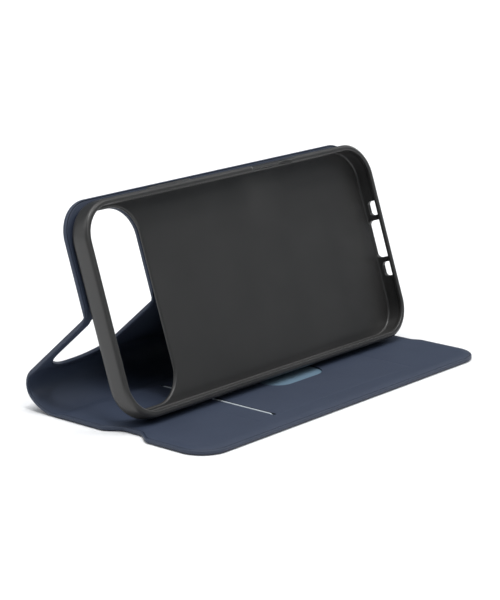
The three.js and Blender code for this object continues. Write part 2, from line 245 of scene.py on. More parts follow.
def moved_in(loop, distance):
    """The loop moved to its left, which is into the material."""
    along = np.roll(loop, -1, axis=0) - np.roll(loop, 1, axis=0)
    along /= np.linalg.norm(along, axis=1)[:, None]
    return loop + distance * np.stack([-along[:, 1], along[:, 0]], -1)


def loop_edges(loops):
    return np.vstack(loops), np.vstack([np.roll(loop, -1, axis=0) for loop in loops])


def distance_to(points, loops):
    """How far each point is from the nearest edge of the loops."""
    a, b = loop_edges(loops)
    along = b - a
    squared = (along**2).sum(-1)
    result = np.empty(len(points))
    for k in range(0, len(points), 1000):
        p = points[k:k + 1000, None] - a
        t = np.clip((p * along).sum(-1) / squared, 0, 1)
        result[k:k + 1000] = np.sqrt(((p - t[..., None] * along) ** 2).sum(-1).min(1))
    return result


def is_inside(points, loops):
    """True for points inside an odd number of the loops."""
    a, b = loop_edges(loops)
    level = b[:, 1] == a[:, 1]
    slope = (b[:, 0] - a[:, 0]) / np.where(level, 1, b[:, 1] - a[:, 1])
    result = np.empty(len(points), bool)
    for k in range(0, len(points), 2000):
        x, y = points[k:k + 2000, 0, None], points[k:k + 2000, 1, None]
        crossed = ((a[:, 1] > y) != (b[:, 1] > y)) & (x < slope * (y - a[:, 1]) + a[:, 0])
        result[k:k + 2000] = crossed.sum(1) % 2 == 1
    return result


def triangulate(loops, free, cuts=()):
    """Triangles that fill the loops, with the free points in them and an edge along each cut."""
    points, edges, count = [*loops, free], [], 0
    for loop in loops:
        edges += [(count + i, count + (i + 1) % len(loop)) for i in range(len(loop))]
        count += len(loop)
    count += len(free)
    for cut in cuts:
        points.append(cut)
        edges += [(count + i, count + i + 1) for i in range(len(cut) - 1)]
        count += len(cut)
    vectors = [Vector(p) for p in np.vstack(points).tolist()]
    found = geometry.delaunay_2d_cdt(vectors, edges, [], 0, TINY)
    flat = np.array([v[:] for v in found[0]])
    triangles = np.array(found[2])
    triangles = triangles[is_inside(flat[triangles].mean(1), loops)]
    used, triangles = np.unique(triangles, return_inverse=True)
    return flat[used], triangles.reshape(-1, 3)


def grid(x_values, y_values):
    return np.stack(np.meshgrid(x_values, y_values), -1).reshape(-1, 2)


def vertex_normals(points, triangles):
    corners = points[triangles]
    cross = np.cross(corners[:, 1] - corners[:, 0], corners[:, 2] - corners[:, 0])
    normals = np.zeros_like(points)
    for k in range(3):
        np.add.at(normals, triangles[:, k], cross)
    return normals / np.maximum(np.linalg.norm(normals, axis=1), 1e-12)[:, None]


# -------- meshes for Blender
def finish_mesh(name, mesh, material):
    obj = bpy.data.objects.new(name, mesh)
    bpy.context.scene.collection.objects.link(obj)
    mesh.materials.append(material)
    return obj


def closed_piece(name, surface, material):
    """A closed piece from part of a surface: open ends are filled, and the shading normals are kept.

    It carries its flat chart and, as Backing, where its material's second look shows: painted shade on the
    outer side of a sheet and at its cut edges, and a painted highlight on the cloth's fold along the slit.
    """
    points, triangles, normals, flat, backing = surface
    used, faces = np.unique(triangles, return_inverse=True)
    mesh = bpy.data.meshes.new(name)
    mesh.from_pydata((points[used] * MM).tolist(), [], faces.reshape(-1, 3).tolist())
    work = bmesh.new()
    work.from_mesh(mesh)
    work.verts.index_update()
    ends = [edge for edge in work.edges if edge.is_boundary]
    if ends:
        bmesh.ops.holes_fill(work, edges=ends, sides=0)
    chart = work.loops.layers.uv.new("Flat")
    for face in work.faces:
        face.smooth = True
        for corner in face.loops:
            corner[chart].uv = flat[used[corner.vert.index]] * CHART_SCALE
    work.to_mesh(mesh)
    work.free()
    mesh.normals_split_custom_set_from_vertices(normals[used].tolist())
    mesh.attributes.new("Backing", "FLOAT", "POINT").data.foreach_set("value", backing[used])
    return finish_mesh(name, mesh, material)


class Patches:
    """Collects surface patches of one piece and welds them where they meet."""

    def __init__(self):
        self.points = []
        self.faces = []
        self.count = 0

    def add(self, points, faces):
        self.points.append(np.asarray(points, float))
        self.faces += [[int(i) + self.count for i in face] for face in faces]
        self.count += len(points)

    def strip(self, rings):
        """Quads between closed rings that have the same count of points."""
        size = len(rings[0])
        quads = [
            (r * size + i, r * size + (i + 1) % size, (r + 1) * size + (i + 1) % size, (r + 1) * size + i)
            for r in range(len(rings) - 1) for i in range(size)
        ]
        self.add(np.vstack(rings), quads)

    def piece(self, name, material):
        mesh = bpy.data.meshes.new(name)
        mesh.from_pydata(np.vstack(self.points).tolist(), [], self.faces)
        work = bmesh.new()
        work.from_mesh(mesh)
        bmesh.ops.remove_doubles(work, verts=work.verts, dist=WELD)
        bmesh.ops.recalc_face_normals(work, faces=work.faces)
        for face in work.faces:
            face.smooth = True
        bmesh.ops.scale(work, vec=(MM, MM, MM), verts=work.verts)
        work.to_mesh(mesh)
        work.free()
        return finish_mesh(name, mesh, material)


# -------- the fold
class Fold:
    """A line in Y and Z made of straight runs and arcs, followed by its length."""

    def __init__(self, start, runs):
        self.ends = [0.0]
        self.starts = [np.array(start, float)]
        self.turns = [0.0]
        self.bends = []
        for length, turn in runs:
            bend = math.radians(turn) / length
            self.bends.append(bend)
            self.starts.append(self._along(length, self.starts[-1], self.turns[-1], bend))
            self.turns.append(self.turns[-1] + math.radians(turn))
            self.ends.append(self.ends[-1] + length)

    @staticmethod
    def _along(t, start, turn, bend):
        """The point a length t along a run."""
        chord = t * np.sinc(bend * t / (2 * math.pi))
        middle = turn + bend * t / 2
        return start + np.stack([chord * np.cos(middle), chord * np.sin(middle)], -1)

    def place(self, x, s, depth):
        """Points at a length s along the outer face and a depth under it."""
        run = np.clip(np.searchsorted(self.ends, s, "right") - 1, 0, len(self.bends) - 1)
        t = s - np.array(self.ends)[run]
        bend = np.array(self.bends)[run]
        turn = np.array(self.turns)[run]
        face = self._along(t, np.array(self.starts)[run], turn, bend)
        end = turn + bend * t
        return np.stack([x, face[:, 0] - depth * np.sin(end), face[:, 1] + depth * np.cos(end)], -1)


CREASE_TURN = TRAY_TURN - LEG_TURN
CREASE_ARC = CREASE_RADIUS * math.radians(-CREASE_TURN)
CREASE_CUT = CREASE_RADIUS * math.tan(math.radians(-CREASE_TURN) / 2)
cover_fold = Fold((FLAP_FRONT, 0), [
    (FLAP_DEPTH, 0),
    (LOWER_RADIUS * math.radians(LOWER_TURN), LOWER_TURN),
    (UPPER_RADIUS * math.radians(UPPER_TURN), UPPER_TURN),
    (LEG_LENGTH - CREASE_CUT, 0),
    (CREASE_ARC, CREASE_TURN),
    (PANEL_TOP - CREASE_CUT, 0),
])
S_LOWER, S_UPPER, S_LEG, S_CREASE, S_PANEL, S_TOP = cover_fold.ends[1:]
S_BEND_SEAM = S_UPPER
S_LEG_SEAM = (S_LEG + S_CREASE) / 2
S_MID_CREASE = (S_CREASE + S_PANEL) / 2
S_OPENING = S_LEG + LEG_LENGTH + CAMERA_LOW


def on_panel(up):
    """The length along the cover of a height on the tray's own scale."""
    return S_TOP - PANEL_TOP + up


# -------- the cover's outlines, drawn flat
def notch_ends(size, along):
    """Where a notch starts and ends, walking the edge in the given direction."""
    return [size["middle"] + way * along * size["length"] / 2 for way in (-1, 1)]


def notch(x, inward, along, size):
    """An S-shaped step in from a short edge and out again, walking the edge in the given direction."""
    t = np.linspace(0, 1, 14)[:-1]
    start, end = notch_ends(size, along)
    ramp = along * size["ramp"]
    deep = x + inward * size["depth"]
    inwards = inward * size["depth"] * ease(t)
    return np.vstack([
        np.stack([x + inwards, start + ramp * t], -1),
        line((deep, start + ramp), (deep, end - ramp), 1.5),
        np.stack([deep - inwards, end - ramp + ramp * t], -1),
    ])


def cover_outline(step=1.5):
    half, turn, bend = COVER_HALF, FLAP_CORNER, PANEL_CORNER
    port_start, port_end = notch_ends(PORT_NOTCH, 1)
    ear_start, ear_end = notch_ends(EARPIECE_NOTCH, -1)
    return np.vstack([
        line((-half + turn, 0), (half - turn, 0), step),
        arc((half - turn, turn), turn, -90, 0, 4),
        line((half, turn), (half, port_start), step),
        notch(half, -1, 1, PORT_NOTCH),
        line((half, port_end), (half, S_TOP - bend), step),
        arc((half - bend, S_TOP - bend), bend, 0, 90, 3),
        line((half - bend, S_TOP), (-half + bend, S_TOP), step),
        arc((-half + bend, S_TOP - bend), bend, 90, 180, 3),
        line((-half, S_TOP - bend), (-half, ear_start), step),
        notch(-half, 1, -1, EARPIECE_NOTCH),
        line((-half, ear_end), (-half, turn), step),
        arc((-half + turn, turn), turn, 180, 270, 4),
    ])


def camera_outline(low, high):
    return rounded(CAMERA_LEFT, CAMERA_RIGHT, low, high, CAMERA_RADIUS, CAMERA_RADIUS, 1.2)


def camera_opening():
    """The opening through the leg and the panel; its lower edge waves a little where the leather curls."""
    loop = camera_outline(S_OPENING, on_panel(CAMERA_HIGH))
    across = (loop[:, 0] - CAMERA_LEFT) / (CAMERA_RIGHT - CAMERA_LEFT)
    near = ease(1 - (loop[:, 1] - S_OPENING) / OPENING_WAVE["fade"])
    swing = np.sin(2 * math.pi * across * OPENING_WAVE["turns"] + OPENING_WAVE["shift"])
    loop[:, 1] += OPENING_WAVE["height"] * near * swing
    return loop[::-1]


outline = cover_outline()
opening = camera_opening()


def thickness(s, margin):
    """How thick the cover is: full over the boards, thin at the bends and pressed thin at its edges."""
    full = eased(s, [
        (FLAP_DEPTH - 7, FULL["flap"]), (FLAP_DEPTH - 0.5, FULL["bend"]),
        (S_LEG + 0.3, FULL["bend"]), (S_LEG + 3.5, FULL["leg"]),
        (S_CREASE - 3.2, FULL["leg"]), (S_CREASE - 0.6, FULL["crease"]),
        (S_PANEL + 0.6, FULL["crease"]), (S_PANEL + 3.2, FULL["panel"]),
    ])
    thin = np.minimum(full, EDGE_THICKNESS)
    plain = thin + (full - thin) * ease(margin / EDGE_TAPER)
    return plain + np.minimum(opening_bead(s, margin), np.maximum(BEAD["most"] - plain, 0))


def opening_bead(s, margin):
    """The leather turned round the leg's opening makes a thicker rim along its lower side."""
    rising = ease((s - S_OPENING + BEAD["reach"]) / BEAD["soft"])
    falling = ease((S_OPENING + BEAD["rise"] - s) / BEAD["rise"])
    beside = rising * falling
    return BEAD["height"] * beside * ease((BEAD["reach"] - margin) / BEAD["soft"])


def round_drop(reach, radius):
    """How far a quarter round has fallen away at a reach from where it starts."""
    return radius - np.sqrt(np.maximum(radius**2 - np.clip(reach, 0, radius) ** 2, 0))


def edge_rounding(edge, radius):
    """How far a face drops near a full-round edge."""
    return round_drop(radius - edge, radius)


def ring_steps(radius):
    """Distances in from an edge that draw its rounding well."""
    return [radius * (1 - math.cos(math.radians(a))) for a in range(18, 91, 18)]


def cover_grid(step=3.0):
    """Free points over the flat cover, close together along s where it bends."""
    rows = np.concatenate([
        np.arange(0, S_LOWER - 1, step),
        np.arange(S_LOWER - 1, S_LEG + 1, 0.7),
        np.arange(S_LEG + 1, S_CREASE - 1.6, step),
        np.arange(S_CREASE - 1.6, S_PANEL + 1.6, 0.12),
        np.arange(S_PANEL + 1.6, S_TOP, step),
    ])
    rows = rows[(rows > 0) & (rows < S_TOP)]
    return grid(np.arange(-COVER_HALF + 1.5, COVER_HALF - 1, step), rows)


def free_points(loops, distances, extra):
    """Rings along the loops at these distances in from them, and the extra points that are further in."""
    rings = []
    for distance in distances:
        for loop in loops:
            ring = moved_in(loop, distance)
            gap = distance_to(ring, loops)
            rings.append(ring[(gap > distance * 0.97) & is_inside(ring, loops)])
    extra = extra[is_inside(extra, loops)]
    extra = extra[distance_to(extra, loops) > max(distances) + 0.25]
    return np.vstack(rings + [extra])


def sheet_surface(loops, distances, extra, faces_at, cuts=()):
    """A closed thin solid on the folded cover.

    faces_at gives its outer and inner depth at each flat point, from the point's distance to the sheet's own
    edges and its margin to the cover's edges.
    """
    flat, triangles = triangulate(loops, free_points(loops, distances, extra), cuts)
    edge = distance_to(flat, loops)
    edge[edge < ON_EDGE] = 0
    margin = distance_to(flat, [outline, opening])
    low, high = faces_at(flat[:, 0], flat[:, 1], edge, margin)
    middle = (low + high) / 2
    border = edge == 0
    low, high = np.where(border, middle, low), np.where(border, middle, high)
    inner_points = cover_fold.place(flat[:, 0], flat[:, 1], high)
    outer_points = cover_fold.place(flat[:, 0], flat[:, 1], low)[~border]
    outer_index = np.arange(len(flat))
    outer_index[~border] = len(flat) + np.arange(len(outer_points))
    points = np.vstack([inner_points, outer_points])
    faces = np.vstack([triangles, outer_index[triangles][:, ::-1]])
    # Backing is 1 on the outer face and at the cut border, where the leather materials paint shade.
    backing = np.concatenate([border.astype(float), np.ones(len(outer_points))])
    flat = np.vstack([flat, flat[~border]])
    return points, faces, vertex_normals(points, faces), flat, backing


def split_pieces(surface, parts, material):
    """The surface as pieces, each from one length along the cover to another."""
    points, faces, normals, flat, backing = surface
    middle = flat[faces][:, :, 1].mean(1)
    made = {}
    for name, (low, high) in parts.items():
        chosen = faces[(middle > low) & (middle < high)]
        made[name] = closed_piece(name, (points, chosen, normals, flat, backing), material)
    return made


def seam(s):
    """A cut straight across the cover, with its points close together where the edges are round."""
    near = np.concatenate([[0], np.arange(0.02, 1.2, 0.06), np.arange(1.4, 4, 0.4)])
    sides = ((-COVER_HALF, 1), (COVER_HALF, -1), (CAMERA_LEFT, -1), (CAMERA_RIGHT, 1))
    close = np.concatenate([edge + way * near for edge, way in sides])
    even = np.arange(-COVER_HALF - 1, COVER_HALF + 1.5, 2.5)
    even = even[np.abs(even[:, None] - close).min(1) > 0.2]
    x = np.unique(np.concatenate([even, close]))
    x = x[np.concatenate([[True], np.diff(x) > 0.005])]
    return np.stack([x, np.full(len(x), s)], -1)


# -------- the cover's pieces
def leather_waves(x, s):
    """The slow unevenness of soft leather over board."""
    along_x = np.sin(x * 0.11 + 0.7 * np.sin(s * 0.13))
    along_s = np.sin(s * 0.17 + 0.9 * np.cos(x * 0.07))
    return WAVE_HEIGHT * (along_x + along_s)


def outer_skin_faces(x, s, edge, margin):
    """The outer leather is turned round the edge and ends under the lining."""
    total = thickness(s, margin)
    low = edge_rounding(edge, np.minimum(EDGE_ROUND_OUTSIDE, 0.4 * total))
    turned = total - GLUE - edge_rounding(edge, np.minimum(EDGE_ROUND_INSIDE, 0.6 * total))
    tucked = np.maximum(total - UNDER_LINING, SKIN)
    under = np.where(edge < TUCK_END, tucked, SKIN)
    inner = np.where(edge < LINING_INSET - 0.03, turned, under)
    return low, np.maximum(np.minimum(inner, turned), low + 0.02)


def lining_faces(x, s, edge, margin):
    """The lining: soft waves, ripples beside the bend, and the card pocket pressed through from below."""
    total = thickness(s, margin)
    inside = np.minimum.reduce([
        x - POCKET["left"], POCKET["right"] - x, s - POCKET["low"], POCKET["high"] - s,
    ])
    groove = POCKET_GROOVE["depth"] * np.exp(-((inside / POCKET_GROOVE["half"]) ** 2))
    waves = leather_waves(x, s) * ease(margin / 6) * ease((S_LOWER - 8 - s) / 6)
    bend_side = ease((s - FLAP_DEPTH + 26) / 8) * ease((S_LOWER + 3 - s) / 4) * ease((-38 - x) / 24)
    slanted = s - BEND_RIPPLE["slant"] * (x + COVER_HALF)
    swing = np.sin(2 * math.pi * slanted / BEND_RIPPLE["length"])
    waves += BEND_RIPPLE["height"] * bend_side * ease(margin / 4) * swing
    round_off = edge_rounding(edge, LINING_ROUND)
    return total - LINING + round_off, total - groove + waves - round_off


seam_cuts = [seam(S_BEND_SEAM), seam(S_LEG_SEAM)]


def seam_parts(prefix):
    """The three pieces that a sheet is cut into, at the middle of each seam."""
    return {
        prefix + "_flap": (-1, S_BEND_SEAM),
        prefix + "_spine": (S_BEND_SEAM, S_LEG_SEAM),
        prefix + "_back": (S_LEG_SEAM, S_TOP + 1),
    }


def make_outer_skin(material):
    loops = [outline, opening]
    distances = sorted(ring_steps(EDGE_ROUND_OUTSIDE)[:3] + ring_steps(EDGE_ROUND_INSIDE))
    distances += [LINING_INSET, TUCK_END - 0.02, TUCK_END + 0.02, 1.6, 2.4, 3.6]
    surface = sheet_surface(loops, distances, cover_grid(), outer_skin_faces, seam_cuts)
    flat, backing = surface[-2:]
    backing[distance_to(flat, loops) < ON_EDGE] = 0
    return split_pieces(surface, seam_parts("outer_leather"), material)


def pocket_outline(step, gap=0.0):
    """The card pocket's outline, or one a gap outside it."""
    return rounded(
        POCKET["left"] - gap, POCKET["right"] + gap, POCKET["low"] - gap, POCKET["high"] + gap,
        POCKET_CORNER, POCKET_CORNER, step,
    )


def glue_outline():
    """The place on the panel where the tray is glued, which the lining leaves free."""
    gap = 0.3
    return rounded(
        CAMERA_RIGHT + 2 - gap, TRAY_HALF - 4 + gap, on_panel(1 - gap), on_panel(TRAY_TOP - 4 + gap),
        1 + gap, TRAY_CORNER - 4 + gap,
    )[::-1]


def make_lining(material):
    loops = [
        moved_in(outline, LINING_INSET),
        moved_in(opening, LINING_INSET),
        hole_about(SLIT_X, FLAP_MIDDLE, SLIT_WIDTH, SLIT_LENGTH, SLIT_WIDTH / 2 - 0.05, 0.8),
        hole_about(WINDOW_X, FLAP_MIDDLE, WINDOW_LENGTH, WINDOW_WIDTH, WINDOW_RADIUS, 1),
        glue_outline(),
    ]
    pocket_lines = [moved_in(pocket_outline(1), offset) for offset in (-1.2, -0.8, -0.4, 0, 0.4, 0.8, 1.2)]
    extra = np.vstack([cover_grid(), *pocket_lines])
    distances = ring_steps(LINING_ROUND) + [0.5, 1.2, 2, 2.9]
    surface = sheet_surface(loops, distances, extra, lining_faces, seam_cuts)
    return split_pieces(surface, seam_parts("lining"), material)


def bar_holes(s):
    """The holes in a board for the magnets or for the plates that they meet."""
    return [hole_about(x, s, *MAGNET_HOLE, MAGNET_HOLE_CORNER, 2) for x in MAGNET_X]


def make_boards(material):
    """The boards in the flap, the leg and the back, which get thinner towards the pressed edges."""
    loops = [moved_in(outline, BOARD_INSET), moved_in(opening, BOARD_INSET)]
    loops += bar_holes(S_TOP - KEEPER_FROM_TOP)

    def faces(x, s, edge, margin):
        under = thickness(s, margin) - UNDER_LINING
        top = np.where(s > S_MID_CREASE, under, np.minimum(under, BOARD_TOP))
        return np.full(len(s), BOARD_LOW), np.maximum(top, BOARD_LOW + THINNEST_BOARD)

    ranges = {
        "flap_core_board": (-1, S_LOWER - 1.2),
        "leg_core_board": (S_LEG + 0.6, S_CREASE - 1.4),
        "back_core_board": (S_PANEL + 1.4, S_TOP + 1),
    }
    cuts = [seam(s) for pair in ranges.values() for s in pair if 0 < s < S_TOP]
    surface = sheet_surface(loops, [0.8, 2, 3], cover_grid(), faces, cuts)
    return split_pieces(surface, ranges, material)


def make_pocket_frame(material):
    """The board round the card pocket, between the flap's board and its lining."""
    side, front, back = 6, 2.4, S_LOWER - 5.5
    outer = rounded(-COVER_HALF + side, COVER_HALF - side, front, back, 8, 3, 2)
    loops = [outer, pocket_outline(2, 0.15)[::-1]] + bar_holes(MAGNET_FROM_FRONT)

    def faces(x, s, edge, margin):
        top = thickness(s, margin) - UNDER_LINING
        return np.full(len(s), FRAME_LOW), np.maximum(top, FRAME_LOW + THINNEST_BOARD)

    surface = sheet_surface(loops, [0.8, 2], cover_grid(), faces)
    return closed_piece("pocket_frame_core", surface, material)


def make_pocket_liner(material):
    """The blue cloth under the window; a narrow fold of it lines the slit."""
    slit_half = SLIT_LENGTH / 2
    half, side = SLIT_FOLD["half"], SLIT_FOLD["side"]
    across = [half, half - side / 3, half - side * 2 / 3, half - side, 0.1]
    ridge = line((SLIT_FOLD["x"], FLAP_MIDDLE - slit_half), (SLIT_FOLD["x"], FLAP_MIDDLE + slit_half), 1)
    extra = np.vstack([
        grid(np.arange(-42, 46, 2), np.arange(POCKET["low"] + 1, POCKET["high"], 2)),
        *[ridge + (way * offset, 0) for way in (-1, 1) for offset in across],
    ])

    def faces(x, s, edge, margin):
        from_middle = np.abs(s - FLAP_MIDDLE)
        over_window = ease((WINDOW_WIDTH / 2 + 4 - from_middle) / 3) * ease(
            (WINDOW_LENGTH / 2 + 4 - np.abs(x - WINDOW_X)) / 3)
        fold = ease((slit_half - 0.6 - from_middle) / 0.8) * ease((half - np.abs(x - SLIT_FOLD["x"])) / side)
        plain = CLOTH["high"] + CLOTH["over_window"] * over_window
        round_off = edge_rounding(edge, CLOTH["edge"])
        return CLOTH["low"] + round_off, plain + (SLIT_FOLD["top"] - plain) * fold - round_off

    surface = sheet_surface([pocket_outline(2)], [0.04, 0.08, 0.6], extra, faces)
    flat, backing = surface[-2:]
    # Backing marks the cloth's fold along the slit, where its material paints a pale highlight.
    backing[:] = (np.abs(flat[:, 0] - SLIT_FOLD["x"]) < half) & (np.abs(flat[:, 1] - FLAP_MIDDLE) < slit_half)
    return closed_piece("pocket_liner_cloth", surface, material)


# -------- the tray
TRAY_COS, TRAY_SIN = UP


def on_tray(x, up, height):
    """World points from the tray's own frame; height is above the tray's back."""
    depth = TRAY_BACK + height
    y = CREASE[0] + up * TRAY_COS - depth * TRAY_SIN
    z = CREASE[1] + up * TRAY_SIN + depth * TRAY_COS
    return np.stack(np.broadcast_arrays(x, y, z), -1)


def tray_stations(step=1.0):
    """Points and outward directions round the tray's outer outline, closer together along the upper wall."""
    r, half = TRAY_CORNER, TRAY_HALF
    corners = [
        (half - r, TRAY_BOTTOM + r, -90, step), (half - r, TRAY_TOP - r, 0, step),
        (-half + r, TRAY_TOP - r, 90, step / 2), (-half + r, TRAY_BOTTOM + r, 180, step),
    ]
    points, outward = [], []
    for k, (x, up, start, spacing) in enumerate(corners):
        corner = np.array((x, up))
        turned = math.radians(start)
        out = np.array([math.cos(turned), math.sin(turned)])
        straight = line(np.array(corners[k - 1][:2]) + r * out, corner + r * out, spacing)
        turns = np.radians(start + np.arange(0, 90, 3.75))
        directions = np.stack([np.cos(turns), np.sin(turns)], -1)
        points += [straight, corner + r * directions]
        outward += [np.repeat(out[None], len(straight), 0), directions]
    return np.vstack(points), np.vstack(outward)


def on_upper_wall(points):
    return points[:, 1] > TRAY_TOP - 0.01


def dip_drop(points):
    """How far the rim is cut down at each station of the upper wall."""
    reach = DIP["length"] / 2 - np.abs(points[:, 0] - DIP["centre"])
    return np.where(on_upper_wall(points), DIP["depth"] * ease(reach / DIP["ramp"]), 0)


def hollowed(points):
    """How deep the outer face is hollowed at each station of the upper wall, from 0 to 1."""
    from_start = ease((points[:, 0] - HOLLOW["start"]) / HOLLOW["start_ramp"])
    from_end = ease((HOLLOW["end"] - points[:, 0]) / HOLLOW["end_ramp"])
    return np.where(on_upper_wall(points), from_start * from_end, 0)


def rim_edge(hollow):
    """The rounding of the rim's outer edge, sharper where the wall is hollowed."""
    return RIM_EDGE + (HOLLOW["rim_edge"] - RIM_EDGE) * hollow


def outer_inset(height, rim, hollow=0.0):
    """How far the wall's outer face lies inside the tray's outline at each height."""
    edge = rim_edge(hollow)
    middle = TRAY_DEPTH / 2
    sunk = hollow * HOLLOW["depth"] * ease((height - BACK_EDGE + 0.4) / 1.2)
    crown = WALL_CROWN * ((height - middle) / middle) ** 2
    rounded_off = round_drop(BACK_EDGE - height, BACK_EDGE) + round_drop(height - rim + edge, edge)
    return rounded_off + sunk + crown


def inner_inset(height, rim, reach):
    """How far the wall's inner face lies inside the tray's outline at each height."""
    low = round_drop(TRAY_FLOOR + FLOOR_FILLET - height, FLOOR_FILLET)
    lip = reach * ease((height - rim + LIP_HEIGHT) / LIP_RAMP)
    return TRAY_WALL + low + lip - round_drop(height - rim + LIP_EDGE, LIP_EDGE)


def quarter(steps):
    """Steps from 0 to 1 that draw a quarter round well."""
    return np.sin(np.radians(np.linspace(0, 90, steps + 1)))


def wall_rows(rim, reach, hollow):
    """The wall's section from the back, over the rim and down to the floor, as insets and heights."""
    edge = rim_edge(hollow)
    outer = np.concatenate([
        BACK_EDGE * (1 - np.cos(np.radians(np.linspace(0, 90, 9)))),
        np.linspace(BACK_EDGE, rim - edge, 5)[1:],
        rim - edge + edge * quarter(6)[1:],
    ])
    inner = np.concatenate([
        rim - LIP_EDGE + LIP_EDGE * quarter(4)[::-1],
        rim - LIP_FULL - LIP_RAMP * np.linspace(0, 1, 5),
        np.linspace(rim - LIP_HEIGHT, TRAY_FLOOR + FLOOR_FILLET, 4)[1:],
        TRAY_FLOOR + FLOOR_FILLET * (1 - np.cos(np.radians(np.linspace(90, 0, 8)[1:]))),
    ])
    return np.vstack([
        [[BACK_EDGE + WALL_CROWN + 0.1, 0]],
        np.stack([outer_inset(outer, rim, hollow), outer], -1),
        np.stack([inner_inset(inner, rim, reach), inner], -1),
        [[TRAY_WALL + FLOOR_FILLET + 0.05, TRAY_FLOOR]],
    ])


# The rows of a wall's section between which its grid is left open for the holes, on its outer and inner face.
OUTER_ROWS = (5, 13)
INNER_ROWS = (24, 37)


def wall_holes():
    """Holes through the walls, each with the way that its wall's outer side points.

    A hole is its middle along the wall, its length, its low and high side, and the radii of its low and high
    corners.
    """
    middle = (TRAY_BOTTOM + TRAY_TOP) / 2 + PORT_SLOT["off_middle"]
    beside = (PORT_SLOT["length"] + SIDE_SLOT["length"]) / 2 + SIDE_SLOT["apart"]
    low, high = (BUTTON_MIDDLE + way * BUTTON_HEIGHT / 2 + way * BUTTON_GAP for way in (-1, 1))
    radius = (high - low) / 2 - 0.05
    holes = [((1, 0), [
        (centre, size["length"], size["low"], SLOT_TOP, size["corner"], SLOT_TOP_CORNER)
        for centre, size in ((middle, PORT_SLOT), (middle - beside, SIDE_SLOT), (middle + beside, SIDE_SLOT))
    ])]
    for wall in (1, -1):
        holes.append(((0, wall), [
            (centre, length + 2 * BUTTON_GAP, low, high, radius, radius)
            for side, centre, length, _ in BUTTONS.values() if side == wall
        ]))
    return holes


def make_tray(material):
    stations, outward = tray_stations()
    sections = []
    for dip, hollow in zip(dip_drop(stations), hollowed(stations)):
        sections.append(wall_rows(TRAY_DEPTH - dip, LIP_REACH * (1 - dip / DIP["depth"]), hollow))
    sections = np.array(sections)
    count, rows = sections.shape[:2]
    flat = stations[:, None] - outward[:, None] * sections[..., :1]
    points = on_tray(flat[..., 0], flat[..., 1], sections[..., 1])
    patches = Patches()
    windows = []
    for side, holes in wall_holes():
        windows += wall_windows(patches, stations, outward, sections, side, holes)
    quads = []
    for i in range(count):
        j = (i + 1) % count
        for r in range(rows - 1):
            if not any(a <= i < b and low <= r < high for a, b, low, high in windows):
                quads.append((i * rows + r, j * rows + r, j * rows + r + 1, i * rows + r + 1))
    patches.add(points.reshape(-1, 3), quads)
    add_floor(patches, stations, outward, sections)
    return patches.piece("tray", material)


def wall_windows(patches, stations, outward, sections, side, holes):
    """Fills a window in the wall's grid, on both faces, round the holes. Returns the grid parts left out."""
    side = np.array(side)
    along_axis = np.array([-side[1], side[0]])
    on_side = np.where((outward @ side) > 0.9999)[0]
    along = stations[on_side] @ along_axis
    loops = []
    for middle, length, low, high, low_radius, high_radius in holes:
        place = middle * along_axis.sum()
        loop = rounded(place - length / 2, place + length / 2, low, high, low_radius, high_radius, 0.6)
        loops.append(loop[::-1])
    reach = np.vstack(loops)[:, 0]
    a = on_side[np.searchsorted(along, reach.min() - 2) - 1]
    b = on_side[np.searchsorted(along, reach.max() + 2)]
    base = stations[a] - (stations[a] @ along_axis) * along_axis
    grown = [moved_in(loop, SLOT_EDGE) for loop in loops]
    ts = stations[a:b + 1] @ along_axis

    def world(flat, inset):
        spot = base + flat[:, :1] * along_axis - inset[:, None] * side
        return on_tray(spot[:, 0], spot[:, 1], flat[:, 1])

    def outer_at(flat):
        return outer_inset(flat[:, 1], TRAY_DEPTH)

    def inner_at(flat):
        return inner_inset(flat[:, 1], TRAY_DEPTH, LIP_REACH)

    for (low_row, high_row), inset_at, way in ((OUTER_ROWS, outer_at, 1), (INNER_ROWS, inner_at, -1)):
        heights = np.sort(sections[a][low_row:high_row + 1, 1])
        border = np.vstack([
            grid(ts, heights[:1])[:-1],
            grid(ts[-1:], heights)[:-1],
            grid(ts[::-1], heights[-1:])[:-1],
            grid(ts[:1], heights[::-1])[:-1],
        ])
        rings = np.vstack([moved_in(loop, SLOT_EDGE + 0.15) for loop in loops])
        rings = rings[(rings[:, 1] < heights[-1] - 0.05) & (rings[:, 1] > heights[0] + 0.05)]
        filler = grid(ts[1:-1], heights[1:-1])
        filler = filler[is_inside(filler, [border, *grown])]
        filler = filler[distance_to(filler, grown) > 0.3]
        flat, triangles = triangulate([border, *grown], np.vstack([rings, filler]))
        patches.add(world(flat, inset_at(flat)), triangles)
        for loop in loops:
            strips = []
            for turn in np.radians(range(0, 91, 30)):
                spot = moved_in(loop, SLOT_EDGE * (1 - math.sin(turn)))
                strips.append(world(spot, inset_at(spot) + way * SLOT_EDGE * (1 - math.cos(turn))))
            patches.strip(strips)
    for loop in loops:
        patches.strip([world(loop, outer_at(loop) + SLOT_EDGE), world(loop, inner_at(loop) - SLOT_EDGE)])
    return [(a, b, *OUTER_ROWS), (a, b, *INNER_ROWS)]


